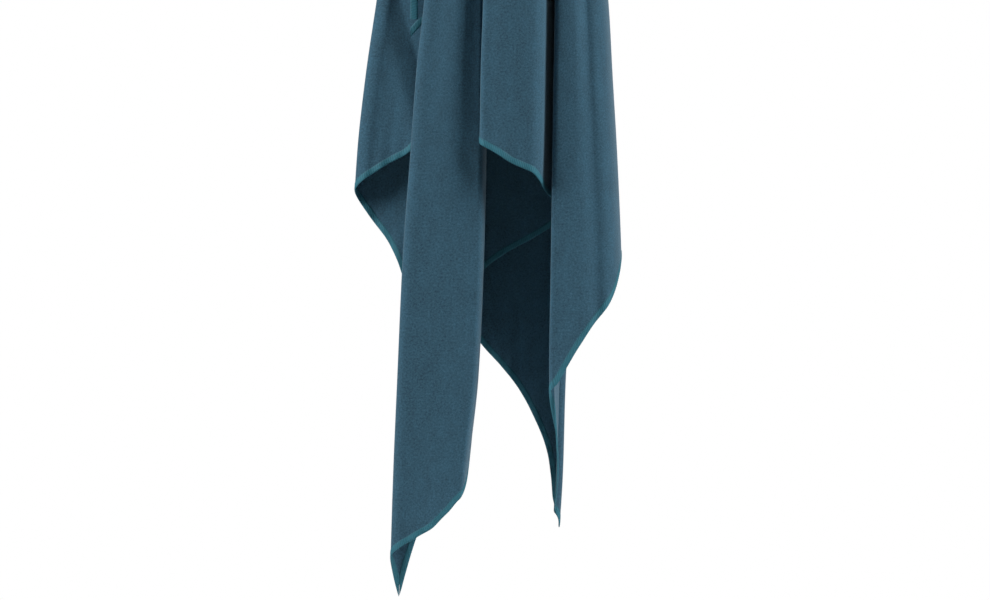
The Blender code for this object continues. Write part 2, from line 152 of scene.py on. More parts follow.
STRAP_W = 0.0160
STRAP_T = 0.0012
STRAP_END = -0.0560
STRAP_SEWN_END = -0.0955
FREE_Y = -0.0028
SNAP_Y = 0.0029
SEWN_Y = 0.0123
SNAP_Z = -0.0480

N_LAYERS = len(FOLDS) - 1
U_END = 2 * N_LAYERS - 1
KNOT_SLACK = 0.001        # how far outside its layer a hem knot still counts
HEM_STEPS = 200           # points of the hem line along each layer and turn
HEM_NEIGHBOURS = 1.7      # places along the cloth where the hem can be nearest
COLUMNS = 900
UPPER_ROWS = 46
LOWER_ROWS = 74
ROW_GROWTH = 1.35         # the rows are closer together at the neck
STEEP_WEIGHT = 0.45       # share of the hem's steepness in the spacing of the columns
CORNER_REACH = 0.08       # more columns on both sides of a towel corner, in places along the cloth
CORNER_COLUMNS = 25
BAND_R = 0.30             # distance at which the width of the upper edge bands is measured
SIDE_CLEAR = 0.004        # no column nearer than this to the cloth's own side
LEVEL_R = 0.39            # down to here every column has its rows at the same heights
STITCH_PITCH = 0.0021     # distance between two loops of overlock thread
STITCH_COLUMNS = 7        # mesh columns for each loop
STITCH_SLANT = 0.9        # loops that a thread passes on its way across the band
BAND_ROWS = 11
RUN_POINTS = 6000         # the hem's length is measured at every fourth of these points
CORNER_CUT = 0.004        # half the slit between two bands at a corner, in places along the cloth
THIN_RIM = 0.10           # square of the band's thickness left at its rims, as a share
LOOP_RELIEF = 0.34        # how deep the threads stand apart, as a share of the band's thickness
UPPER_EDGE_TOP = 0.050
UPPER_TAPER = (0.08, 0.35)    # the upper bands start thin: length of the taper, share at its start
TUCK = 0.5                # the cloth's cut edge lies this share of the band inside it
STRAP_ROWS = 260
STRAP_COLUMNS = 41
WARP_PITCH = 0.0009
WEFT_PITCH = 0.0012
RIBS = (0.90, 0.07)       # share of the tape's thickness in the middle of the ribs, and their height
EDGE_START = 0.94         # the tape thins out from here to its edge, as a share of its half width
EDGE_THIN = 0.55
SNAP_SIDES = 64
STITCH_Z = -0.0865        # middle of the stitched box
STITCH_HALF = (0.0060, 0.0068)
SEAM_PITCH = 0.0017
SEAM_FILL = 0.84          # share of the pitch that a stitch takes up
THREAD_R = 0.00024

# Colours (linear)
SUEDE = (0.044, 0.114, 0.168)
PALE_FIBRE = (0.16, 0.29, 0.36)
OVERLOCK = (0.040, 0.185, 0.245)
WEBBING = (0.045, 0.105, 0.145)
PLASTIC = (0.030, 0.060, 0.080)
METAL = (0.62, 0.64, 0.66)

# Stage (metres, watts)
VIEW_WIDTH = 0.7857
VIEW_CENTRE = (0.0008, -0.7017)
FRONT_PLANE = 0.035
LENS = 120.0
SENSOR = 36.0
LIT_POINT = (0, 0, -0.62)
FILL = 0.03
FILL_COLOUR = (0.88, 0.95, 1.0)
# Soft boxes: name, place, size, power, colour
LIGHTS = (
    ("left_soft_box", (-1.9, -0.74, 0.75), (0.9, 1.5), 61, (0.97, 0.99, 1)),
    ("right_soft_box", (1.9, -0.64, 0.75), (0.9, 1.5), 57, (0.97, 0.99, 1)),
    ("back_soft_box", (0.5, 2.5, 0.3), (1.8, 1.8), 30, (1, 1, 1)),
)
FLOOR_HALF = 1.2
FLOOR_DROP = 0.45         # the floor lies this far below the hanging towel


# ---- smooth interpolation ---------------------------------------------------
def monotone(xs, ys, q, level_ends=False):
    """Monotone cubic curve through (xs, ys), evaluated at q."""
    xs = np.asarray(xs, float)
    ys = np.asarray(ys, float)
    q = np.clip(np.asarray(q, float), xs[0], xs[-1])
    h = np.diff(xs)
    d = np.diff(ys) / h
    m = np.zeros_like(ys)
    if not level_ends:
        m[0], m[-1] = d[0], d[-1]
    for k in range(1, len(xs) - 1):
        if d[k - 1] * d[k] > 0:
            w1, w2 = 2 * h[k] + h[k - 1], h[k] + 2 * h[k - 1]
            m[k] = (w1 + w2) / (w1 / d[k - 1] + w2 / d[k])
    i = np.clip(np.searchsorted(xs, q, side="right") - 1, 0, len(xs) - 2)
    t = (q - xs[i]) / h[i]
    a = 2 * t ** 3 - 3 * t ** 2 + 1
    b = t ** 3 - 2 * t ** 2 + t
    c = -2 * t ** 3 + 3 * t ** 2
    e = t ** 3 - t ** 2
    return a * ys[i] + b * h[i] * m[i] + c * ys[i + 1] + e * h[i] * m[i + 1]


def half_width(r):
    """Half width of the hanging bundle (mm): it flares out fast, then almost straight."""
    return FLARE[0] * (1 - np.exp(-r / FLARE[1])) + WIDENING * r


def open_share(r):
    """How far the gathered folds have opened at distance r (0 at the neck, 1 at FULL_R)."""
    share = (half_width(r) - half_width(NECK_END)) / (half_width(FULL_R) - half_width(NECK_END))
    return np.maximum(share, 0.0)


def depth_scale(r):
    return NECK_DEPTH + (1 - NECK_DEPTH) * open_share(np.minimum(r, FULL_R))


def fold_x(k, r):
    neck, xs = FOLDS[k][1:3]
    rs = SPREAD + STATIONS
    vals = [neck + (xs[0] - neck) * open_share(v) for v in SPREAD] + list(xs)
    return monotone(rs, vals, r) / 1000


# ---- the folded middle surface ----------------------------------------------
def layer_ends(k, r):
    """Sideways places between which layer k runs, turns left out, at distances r."""
    reach = depth_scale(r) / 1000 * (1 if FOLDS[k + 1][2][0] > FOLDS[k][2][0] else -1)
    return fold_x(k, r) + reach * FOLDS[k][5], fold_x(k + 1, r) - reach * FOLDS[k + 1][5]


def layer_line(k, t, r):
    xa, xb = layer_ends(k, r)
    knots = LAYER_SHAPE.get(FOLDS[k][0], ())
    x0, x1 = layer_ends(k, SHAPE_R)
    ts = [0.0] + [float((x / 1000 - x0) / (x1 - x0)) for x, _ in knots] + [1.0]
    ys = [FOLDS[k][4]] + [y for _, y in knots] + [FOLDS[k + 1][3]]
    return xa + (xb - xa) * t, float(monotone(ts, ys, t, level_ends=True))


def turn_line(k, t, r):
    y_in, y_out, width = FOLDS[k][3:]
    side = 1 if FOLDS[k][2][0] > FOLDS[k - 1][2][0] else -1
    x = fold_x(k, r) - side * width * depth_scale(r) / 1000 * (1 - math.sin(math.pi * t))
    return x, (y_in + y_out + (y_in - y_out) * math.cos(math.pi * t)) / 2


def plan_line(u, r):
    """Points (n, 3) of the folded plan's line at place u, at distances r below the sewing point."""
    r = np.asarray(r, float)
    k = min(int(u), 2 * N_LAYERS - 2)
    x, y = layer_line(k // 2, u - k, r) if k % 2 == 0 else turn_line((k + 1) // 2, u - k, r)
    return np.stack((x, (y / 1000 + DEPTH_SHIFT) * depth_scale(r), SEW_Z - r), axis=1)


def arc_rows():
    """Arc length along the cloth at u, for a row of distances r."""
    us = np.linspace(0, U_END, ARC_STEPS * U_END + 1)
    rs = np.arange(NECK, ARC_END, ARC_ROW)
    pts = np.stack([plan_line(u, rs) for u in us])
    seg = np.linalg.norm(np.diff(pts, axis=0), axis=2)
    return us, rs, np.vstack((np.zeros(len(rs)), np.cumsum(seg, axis=0)))


ARC_U, ARC_R, ARC = arc_rows()


def arc_column(r):
    return ARC[:, int(np.clip(round((r - NECK) / ARC_ROW), 0, len(ARC_R) - 1))]


def arc_at(u, r):
    return np.interp(u, ARC_U, arc_column(r))


# ---- hem line ---------------------------------------------------------------
def hem_knots():
    knots = [(0, HEM_ENDS[0]), (U_END, HEM_ENDS[1])]
    for k, f in enumerate(FOLDS):
        if f[0] in HEM_RIDGE:
            knots.append((2 * k - 0.5, HEM_RIDGE[f[0]]))
        if f[0] == CORNER_A[0]:
            knots.append((2 * k - 1 + CORNER_A[1], CORNER_A[2]))
        for x, length in HEM_LAYER.get(f[0], ()):
            xa, xb = layer_ends(k, length / 1000)
            t = float((x / 1000 - xa) / (xb - xa))
            if -KNOT_SLACK < t < 1 + KNOT_SLACK:
                knots.append((2 * k + min(max(t, 0), 1), length))
    knots.sort()
    s = arc_at([u for u, _ in knots], ARC_REF)
    return s, np.array([v for _, v in knots]) / 1000


HEM_S, HEM_L = hem_knots()
A_INDEX = int(np.argmax(HEM_L))
B_INDEX = int(np.argmin(np.abs(HEM_L - CORNER_B[2] / 1000)))
U_A = float(np.interp(HEM_S[A_INDEX], arc_column(ARC_REF), ARC_U))
U_B = float(np.interp(HEM_S[B_INDEX], arc_column(ARC_REF), ARC_U))


def hem_at(u):
    """Distance of the hem below the sewing point at places u."""
    s = arc_at(np.atleast_1d(u), ARC_REF)
    piece = (s > HEM_S[A_INDEX]).astype(int) + (s > HEM_S[B_INDEX])
    cuts = [0, A_INDEX, B_INDEX, len(HEM_S) - 1]
    out = np.zeros(len(s))
    for j in range(3):
        a, b = cuts[j], cuts[j + 1] + 1
        out[piece == j] = monotone(HEM_S[a:b], HEM_L[a:b], s[piece == j])
    return out


FINE_U = np.linspace(0, U_END, HEM_STEPS * U_END + 1)
FINE_L = hem_at(FINE_U)


def inner_edge(us, width):
    """Distance at which the line `width` inside the hem crosses each column."""
    out = []
    for u in us:
        near = np.abs(FINE_U - u) < HEM_NEIGHBOURS
        own = float(np.interp(u, FINE_U, FINE_L)) - width
        r = own
        for _ in range(4):
            s = np.abs(arc_at(FINE_U[near], r) - arc_at(u, r))
            ok = s < width
            r = min(own, float(np.min(FINE_L[near][ok] - np.sqrt(width ** 2 - s[ok] ** 2))))
        out.append(r)
    return np.array(out)


# ---- meshes -----------------------------------------------------------------
def new_object(name, verts, faces, material, place=None, sharp=50):
    mesh = bpy.data.meshes.new(name)
    mesh.from_pydata(np.asarray(verts, float).tolist(), [], faces)
    mesh.materials.append(material)
    if place is not None:
        att = mesh.attributes.new("cloth_place", "FLOAT_VECTOR", "POINT")
        att.data.foreach_set("vector", np.asarray(place, np.float32).ravel())
    mesh.shade_smooth()
    mesh.set_sharp_from_angle(angle=math.radians(sharp))
    obj = bpy.data.objects.new(name, mesh)
    bpy.context.scene.collection.objects.link(obj)
    return obj


def finish_piece(obj, body, slot, *nodes):
    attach(obj, body)
    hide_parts(*nodes)
    return obj


def grid_normals(grid):
    n = np.cross(np.gradient(grid, axis=0), np.gradient(grid, axis=1))
    return n / np.maximum(np.linalg.norm(n, axis=2, keepdims=True), 1e-12)


def sheet_mesh(name, grid, normals, half, material, place):
    """Closed sheet from a grid of middle points, half thickness per row and column."""
    nc, nr = grid.shape[:2]
    front = (grid - normals * half[..., None]).reshape(-1, 3)
    back = (grid + normals * half[..., None]).reshape(-1, 3)
    off = nc * nr
    idx = np.arange(off).reshape(nc, nr)
    a, b, c, d = (part.ravel() for part in (idx[:-1, :-1], idx[1:, :-1], idx[1:, 1:], idx[:-1, 1:]))
    faces = np.concatenate((np.stack((a, b, c, d), 1), np.stack((a, d, c, b), 1) + off)).tolist()
    rim = np.concatenate((idx[:, 0], idx[-1, 1:], idx[-2::-1, -1], idx[0, -2:0:-1]))
    faces += [(q, p, p + off, q + off) for p, q in zip(rim.tolist(), np.roll(rim, -1).tolist())]
    both = np.concatenate((place.reshape(-1, 3), place.reshape(-1, 3)))
    return new_object(name, np.vstack((front, back)), faces, material, both)


# ---- towel ------------------------------------------------------------------
# Height (m), span along the cloth (m), run down the cloth (m) and phase of each ripple.
RIPPLES = ((0.0006, 0.118, 0.55, 0.4), (0.00028, 0.061, -0.34, 2.1), (0.00014, 0.037, 0.23, 4.4))
RIPPLE_START = 0.06       # above this distance the cloth is smooth
RIPPLE_GROWTH = 0.34      # over this further distance the ripples reach their height
# Height (m), span along the hem (m) and phase of each wave of the lower edge.
HEM_WAVE = ((0.0007, 0.031, 1.0), (0.0004, 0.013, 2.6))
HEM_WAVE_REACH = 0.016
CREASED_LAYER = 2         # place along the cloth where the creased left panel begins
CREASE = ((-0.0905, 0.410), (-0.0659, 0.493))    # sideways place and distance of its two ends
CREASE_SLOPE = 0.55
CREASE_SOFT = 0.004       # the bend is rounded over this width
CREASE_REACH = 0.017      # the cloth slopes back for this far beside the line, then stays level
CREASE_FADE = (-0.55, 1.9)    # along the line, where it begins and ends, in lengths of it
CREASE_FAINT = 0.2        # what is left of it above its beginning


def ripple(u, r, hem_r):
    """Soft unevenness of the hanging cloth (m of depth), stronger low down and along the hem."""
    s = arc_at(u, SHAPE_R)
    grow = np.clip((r - RIPPLE_START) / RIPPLE_GROWTH, 0, 1) ** 2
    out = sum(a * np.sin(2 * np.pi * (s / span + r / run) + phase) for a, span, run, phase in RIPPLES)
    edge = sum(a * np.sin(2 * np.pi * s / span + phase) for a, span, phase in HEM_WAVE)
    return grow * (out + edge * np.exp((np.minimum(r, hem_r) - hem_r) / HEM_WAVE_REACH))


def crease(u, r, x):
    """Backward bend beside the soft slanting crease, on the layer that ends at the left ridge."""
    if not CREASED_LAYER < u < CREASED_LAYER + 1:
        return 0.0
    (x0, r0), (x1, r1) = CREASE
    length = math.hypot(x1 - x0, r1 - r0)
    along = ((x - x0) * (x1 - x0) + (r - r0) * (r1 - r0)) / length ** 2
    off = ((x - x0) * (r1 - r0) - (r - r0) * (x1 - x0)) / length
    fade = np.clip(CREASE_FADE[1] - along, 0, 1) * np.clip(along - CREASE_FADE[0], CREASE_FAINT, 1)
    side = math.sqrt(math.sin(math.pi * (u - CREASED_LAYER)))
    off = np.minimum(off, CREASE_REACH)
    return CREASE_SLOPE * side * fade * (off + np.sqrt(off ** 2 + CREASE_SOFT ** 2)) / 2


def line_at(u, r, hem_r):
    """The hanging cloth's middle line at place u: the folded plan with its soft unevenness."""
    pts = plan_line(u, r)
    pts[:, 1] += ripple(u, r, hem_r) + crease(u, r, pts[:, 0])
    return pts


def cloth_columns():
    """Places of the cloth's columns, closer together where the hem runs steeply."""
    s = arc_at(FINE_U, SHAPE_R)
    step = np.sqrt(np.diff(s) ** 2 + (STEEP_WEIGHT * np.diff(FINE_L)) ** 2)
    run = np.concatenate(([0], np.cumsum(step)))
    us = np.interp(np.linspace(0, run[-1], COLUMNS), run, FINE_U)
    near = np.linspace(-CORNER_REACH, CORNER_REACH, CORNER_COLUMNS)
    return np.unique(np.concatenate((us, U_A + near, U_B + near)))


def upper_edge_places():
    """Places where the two upper edge bands meet the cloth."""
    s = arc_column(BAND_R)
    return (float(np.interp(HEM_W, s, ARC_U)), float(np.interp(s[-1] - HEM_W, s, ARC_U)))


def build_cloth(suede):
    side_l, side_r = upper_edge_places()
    us = cloth_columns()
    inside = (us > side_l + SIDE_CLEAR) & (us < side_r - SIDE_CLEAR)
    us = np.concatenate(([side_l], us[inside], [side_r]))
    ends, hems = inner_edge(us, TUCK * HEM_W), np.interp(us, FINE_U, FINE_L)
    upper = np.linspace(0, 1, UPPER_ROWS + 1) ** ROW_GROWTH * (LEVEL_R - NECK) + NECK
    share = np.linspace(0, 1, LOWER_ROWS + 1)[1:]
    rows = [np.concatenate((upper, LEVEL_R + (e - LEVEL_R) * share)) for e in ends]
    grid = np.stack([line_at(u, r, h) for u, r, h in zip(us, rows, hems)])
    place = np.stack([np.stack((np.full(len(r), arc_at(u, SHAPE_R)), r, 0 * r), 1)
                      for u, r in zip(us, rows)])
    half = np.full(grid.shape[:2], CLOTH_T / 2)
    cloth = sheet_mesh("cloth", grid, grid_normals(grid), half, suede, place)
    return finish_piece(cloth, "towel", "suede", "towel_cloth")


def stitch_columns(lo, hi):
    """Evenly spaced places along the hem line between lo and hi, with the length run so far."""
    fine = np.linspace(lo, hi, RUN_POINTS)[::4]
    hem_r = np.interp(fine, FINE_U, FINE_L)
    pts = np.stack([plan_line(u, [r])[0] for u, r in zip(fine, hem_r)])
    run = np.concatenate(([0], np.cumsum(np.linalg.norm(np.diff(pts, axis=0), axis=1))))
    count = int(run[-1] / STITCH_PITCH * STITCH_COLUMNS)
    ss = np.linspace(0, run[-1], count)
    return np.interp(ss, run, fine), ss


def thread_half(run, across):
    """Half thickness of the overlocked band: slanting thread loops on a rounded edge."""
    round_off = np.sqrt(np.clip(1 - np.abs(2 * across - 1) ** 5, THIN_RIM, 1))
    loops = np.abs(np.sin(np.pi * (run / STITCH_PITCH + STITCH_SLANT * across)))
    return HEM_T / 2 * round_off * (1 - LOOP_RELIEF + LOOP_RELIEF * np.sqrt(loops))


def build_hem(name, lo, hi, node, thread):
    us, run = stitch_columns(lo, hi)
    across = np.linspace(0, 1, BAND_ROWS)
    hems, ends = np.interp(us, FINE_U, FINE_L), inner_edge(us, HEM_W)
    grid = np.stack([line_at(u, e + (h - e) * across, h) for u, e, h in zip(us, ends, hems)])
    half = thread_half(run[:, None], across[None])
    flat = np.broadcast_to(run[:, None], half.shape)
    place = np.stack((flat, np.broadcast_to(across * HEM_W, half.shape), np.ones(half.shape)), 2)
    obj = sheet_mesh(name, grid, grid_normals(grid), half, thread, place)
    return finish_piece(obj, "towel", "overlock", node)


def build_upper_edge(name, a, b, node, thread):
    """Overlocked upper edge: a band straight down the cloth's side from the strap."""
    end = float(min(inner_edge([a], HEM_W)[0], inner_edge([b], HEM_W)[0])) - GAP
    count = int((end - UPPER_EDGE_TOP) / STITCH_PITCH * STITCH_COLUMNS)
    rows = np.linspace(UPPER_EDGE_TOP, end, count)
    cols = a + (b - a) * np.linspace(0, 1, BAND_ROWS)
    across = np.abs(cols - a) / abs(b - a)
    grid = np.stack([line_at(u, rows, end + HEM_W) for u in cols])
    taper = np.clip((rows - UPPER_EDGE_TOP) / UPPER_TAPER[0] + UPPER_TAPER[1], 0, 1)
    half = thread_half(rows[None], across[:, None]) * taper[None]
    place = np.stack((np.broadcast_to(rows[None], half.shape),
                      np.broadcast_to(across[:, None] * HEM_W, half.shape), np.ones(half.shape)), 2)
    obj = sheet_mesh(name, grid, grid_normals(grid), half, thread, place)
    return finish_piece(obj, "towel", "overlock", node)


def build_towel(suede, thread):
    cloth = build_cloth(suede)
    side_l, side_r = upper_edge_places()
    end = float(U_END)
    hems = [build_hem("edge_left_side", 0.0, U_A - CORNER_CUT, "hem_left_side", thread),
            build_hem("edge_lower_side", U_A + CORNER_CUT, U_B - CORNER_CUT, "hem_lower_side", thread),
            build_hem("edge_right_side", U_B + CORNER_CUT, end, "hem_right_side", thread),
            build_upper_edge("edge_upper_left", 0.0, side_l, "hem_upper_left", thread),
            build_upper_edge("edge_upper_right", end, side_r, "hem_upper_right", thread)]


# ---- strap and snap ---------------------------------------------------------
def strap_line():
    """Middle line (y, z) of the whole strap: up the sewn half, over the hook, down the free half."""
    sewn = ((SEWN_Y, STRAP_SEWN_END), (SEWN_Y, -0.0765), (0.0098, -0.0690), (0.0050, -0.0610),
            (SNAP_Y, -0.0550), (SNAP_Y, -0.0410), (0.0052, -0.0350), (0.0084, -0.0270),
            (0.0098, -0.0180), (0.0088, -0.0085), (0.0052, -0.0022))
    top = ((0.0005, 0.0006),)
    free = ((-0.0048, -0.0022), (-0.0084, -0.0085), (-0.0094, -0.0180), (-0.0080, -0.0270),
            (-0.0050, -0.0350), (FREE_Y, -0.0410), (FREE_Y, STRAP_END))
    pts = np.array(sewn + top + free)
    chord = np.concatenate(([0], np.cumsum(np.linalg.norm(np.diff(pts, axis=0), axis=1))))
    q = np.linspace(0, chord[-1], STRAP_ROWS)
    line = np.stack((monotone(chord, pts[:, 0], q), monotone(chord, pts[:, 1], q)), 1)
    return line, q


def build_strap(webbing):
    """Woven ribbed tape with thin edges, as one piece that bends at the top of the loop."""
    line, run = strap_line()
    across = np.linspace(-1, 1, STRAP_COLUMNS)
    grid = np.zeros((STRAP_COLUMNS, STRAP_ROWS, 3))
    grid[:, :, 0] = across[:, None] * STRAP_W / 2
    grid[:, :, 1:] = line[None]
    ribs = RIBS[0] + RIBS[1] * np.cos(2 * np.pi * run / WEFT_PITCH)[None]
    edge = 1 - EDGE_THIN * np.clip((np.abs(across) - EDGE_START) / (1 - EDGE_START), 0, 1)[:, None] ** 2
    half = STRAP_T / 2 * ribs * edge
    place = np.stack((np.broadcast_to(across[:, None] * STRAP_W / 2, half.shape),
                      np.broadcast_to(run[None], half.shape), 0 * half), 2)
    obj = sheet_mesh("hang_strap", grid, grid_normals(grid), half, webbing, place)
    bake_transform(obj)
    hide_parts("strap_sewn_half", "strap_free_half")


def turned(name, profile, material, y, out, node, body, slot, closed=False):
    """Round snap part: (radius, height) profile turned about the snap's axis, height along out."""
    verts, faces, rings = [], [], []
    for rad, high in profile:
        count = SNAP_SIDES if rad > 1e-7 else 1
        rings.append(range(len(verts), len(verts) + count))
        for j in range(count):
            a = 2 * math.pi * j / count
            verts.append((rad * math.cos(a), y + out * high, SNAP_Z + rad * math.sin(a)))
    for a, b in zip(rings, list(rings[1:]) + [rings[0]] * closed):
        for j in range(SNAP_SIDES):
            k = (j + 1) % SNAP_SIDES
            corners = [a[j % len(a)], b[j % len(b)], b[k % len(b)], a[k % len(a)]]
            faces.append(tuple(dict.fromkeys(corners))[::int(out)])
    obj = new_object(name, verts, faces, material, sharp=35)
    fix_normals(obj)
    return finish_piece(obj, body, slot, node)


def fix_normals(obj):
    bm = bmesh.new()
    bm.from_mesh(obj.data)
    bmesh.ops.recalc_face_normals(bm, faces=bm.faces)
    bm.to_mesh(obj.data)
    bm.free()


def dome(radius, low, high, steps=10):
    """Quarter-round profile points from the rim (radius, low) to the middle (0, high)."""
    angles = [math.pi / 2 * k / steps for k in range(steps + 1)]
    return [(radius * math.cos(a) if k < steps else 0.0, low + (high - low) * math.sin(a))
            for k, a in enumerate(angles)]


def build_snap(plastic, metal):
    clear = STRAP_T / 2 + GAP
    cap = [(0, 0), (0.0056, 0), (0.0061, 0.0002), (0.0062, 0.0006), (0.0060, 0.0009),
           (0.0054, 0.00115), (0.0050, 0.00105)] + dome(0.0047, 0.0012, 0.0021)
    turned("press_cap", cap, plastic, FREE_Y - clear, -1, "snap_cap", "strap_flap", "snap_shell")
    socket = [(0.0050, 0), (0.0052, 0.0002), (0.0052, 0.0006), (0.0049, 0.0008), (0.0040, 0.00085),
              (0.0037, 0.0014), (0.0034, 0.0016), (0.0029, 0.0016), (0.0026, 0.0014), (0.0026, 0.0003),
              (0.0028, 0.0)]
    turned("press_socket", socket, metal, FREE_Y + clear, 1, "snap_socket", "strap_flap", "snap_metal",
           closed=True)
    stud = [(0, 0), (0.0046, 0), (0.0048, 0.00015), (0.0048, 0.0004), (0.0044, 0.0005), (0.0024, 0.0006),
            (0.0018, 0.0009), (0.0017, 0.0013), (0.0020, 0.0017), (0.0019, 0.0021), (0.0013, 0.0024),
            (0, 0.0025)]
    turned("press_stud", stud, metal, SNAP_Y - clear, -1, "snap_stud", "towel", "snap_metal")
    post = [(0, 0), (0.0056, 0), (0.0060, 0.0002), (0.0060, 0.0006), (0.0056, 0.0009), (0.0036, 0.0012),
            (0.0030, 0.0010), (0, 0.0009)]
    turned("press_post", post, plastic, SNAP_Y + clear, 1, "snap_post", "towel", "snap_shell")


def build_box_stitch(thread):
    """Rows of thread stitches: a box with a cross, on the outside of the sewn strap end."""
    w, h = STITCH_HALF
    corners = [(x, STITCH_Z + z) for x, z in ((-w, h), (w, h), (w, -h), (-w, -h))]
    lines = list(zip(corners, corners[1:] + corners[:1]))
    lines += [(corners[0], corners[2]), (corners[1], corners[3])]
    y = SEWN_Y + STRAP_T / 2 + GAP
    verts, faces = [], []
    for (x0, z0), (x1, z1) in lines:
        length = math.hypot(x1 - x0, z1 - z0)
        count = round(length / SEAM_PITCH)
        dx, dz = (x1 - x0) / length, (z1 - z0) / length
        for k in range(count):
            x, z = x0 + (x1 - x0) * (k + 0.5) / count, z0 + (z1 - z0) * (k + 0.5) / count
            add_stitch(verts, faces, x, y, z, (dx, dz), SEAM_FILL * length / count)
    obj = new_object("box_stitch", verts, faces, thread)
    fix_normals(obj)
    finish_piece(obj, "towel", "thread", "strap_stitch")


def add_stitch(verts, faces, x, y, z, way, length, sides=6, rings=5):
    """One thread stitch: a bowed spindle lying on the strap, closed at both ends."""
    first = len(verts)
    for i in range(rings):
        t = i / (rings - 1) * 2 - 1
        rad = THREAD_R * (0.35 + 0.65 * math.sqrt(max(0, 1 - t * t)))
        lift = THREAD_R * (1 - 0.5 * t * t)
        for j in range(sides):
            a = 2 * math.pi * j / sides
            side, high = rad * math.cos(a), lift + rad * math.sin(a)
            verts.append((x + way[0] * t * length / 2 - way[1] * side, y + high,
                          z + way[1] * t * length / 2 + way[0] * side))
    for i in range(rings - 1):
        for j in range(sides):
            k = (j + 1) % sides
            a, b = first + i * sides, first + (i + 1) * sides
            faces.append((a + j, a + k, b + k, b + j))
    faces.append(tuple(first + j for j in range(sides)))
    faces.append(tuple(first + (rings - 1) * sides + j for j in reversed(range(sides))))


# ---- materials --------------------------------------------------------------
class Shader:
    """One node material: constants sit on the shader's sockets, patterns are built with calls."""

    def __init__(self, name, colour, roughness, **constants):
        self.mat = bpy.data.materials.new(name)
        self.mat.use_nodes = True
        self.mat.diffuse_color = (*colour, 1)
        self.bsdf = self.mat.node_tree.nodes["Principled BSDF"]
        self.bsdf.inputs["Base Color"].default_value = (*colour, 1)
        self.bsdf.inputs["Roughness"].default_value = roughness
        for key, value in constants.items():
            self.bsdf.inputs[key.replace("_", " ")].default_value = value

    def node(self, kind, inputs, out=0, **settings):
        made = self.mat.node_tree.nodes.new("ShaderNode" + kind)
        for key, value in settings.items():
            setattr(made, key, value)
        for key, value in inputs.items():
            if isinstance(value, bpy.types.NodeSocket):
                self.mat.node_tree.links.new(value, made.inputs[key])
            else:
                made.inputs[key].default_value = value
        return made.outputs[out]

    def math(self, operation, a, b=0.0):
        return self.node("Math", {0: a, 1: b}, operation=operation)

    def place(self):
        return self.node("Attribute", {}, out="Vector", attribute_name="cloth_place")

    def object_place(self):
        return self.node("TexCoord", {}, out="Object")

    def stretch(self, vector, scale):
        return self.node("VectorMath", {0: vector, 1: scale}, operation="MULTIPLY")

    def noise(self, vector, scale, detail=2.0, rough=0.5):
        values = {"Vector": vector, "Scale": scale, "Detail": detail, "Roughness": rough}
        return self.node("TexNoise", values, out="Fac")

    def fit(self, value, low, high, to_low=0.0, to_high=1.0):
        values = {"Value": value, "From Min": low, "From Max": high, "To Min": to_low, "To Max": to_high}
        return self.node("MapRange", values, clamp=True)

    def blend(self, share, dark, light):
        def colour(c):
            return c if isinstance(c, bpy.types.NodeSocket) else (*c, 1)
        return self.node("Mix", {0: share, 6: colour(dark), 7: colour(light)}, out=2, data_type="RGBA")

    def bump(self, height, strength, distance, normal=None):
        values = {"Height": height, "Strength": strength, "Distance": distance}
        if normal is not None:
            values["Normal"] = normal
        return self.node("Bump", values)

    def use(self, **sockets):
        for key, value in sockets.items():
            self.mat.node_tree.links.new(value, self.bsdf.inputs[key.replace("_", " ")])
        return self.mat


def suede_material():
    """Short nap, raised by brushing: fine grain, soft mottling where the nap lies differently, long
    streaks down the cloth that are partly the nap's direction and partly painted shade of soft wrinkles,
    pale sheen.
    """
    sh = Shader("suede", SUEDE, 0.9, Specular_IOR_Level=0.2, Sheen_Weight=0.35, Sheen_Roughness=0.38,
                Sheen_Tint=(0.70, 0.88, 1.0, 1))
    place = sh.place()
    grain = sh.noise(place, 620, 4, 0.75)
    fibre = sh.noise(sh.stretch(place, (1.0, 0.35, 1.0)), 2600, 1)
    patches = sh.noise(sh.stretch(place, (1.0, 0.45, 1.0)), 120, 4, 0.6)
    # Long streaks down the cloth: partly the nap's direction, partly painted shade of the soft wrinkles
    # that the same noise raises as a bump.
    nap_wrinkles_and_shade = sh.noise(sh.stretch(place, (1.0, 0.16, 1.0)), 24, 3)
    tone = sh.math("ADD", sh.fit(grain, 0.32, 0.68, 0, 0.66), sh.fit(patches, 0.3, 0.7, 0, 0.20))
    # This adds the painted wrinkle shade of the long streaks to the colour's tone.
    tone = sh.math("ADD", tone, sh.fit(nap_wrinkles_and_shade, 0.3, 0.7, 0, 0.14))
    colour = sh.blend(tone, [c * 0.42 for c in SUEDE], [c * 1.58 for c in SUEDE])
    pale = sh.fit(fibre, 0.60, 0.78, 0, 0.30)
    colour = sh.blend(pale, colour, PALE_FIBRE)
    soft = sh.bump(nap_wrinkles_and_shade, 0.55, 0.0016)
    soft = sh.bump(patches, 0.35, 0.0007, soft)
    nap = sh.bump(grain, 0.55, 0.00028, soft)
    return sh.use(Base_Color=colour, Roughness=sh.fit(patches, 0.3, 0.7, 0.82, 0.97), Normal=nap)


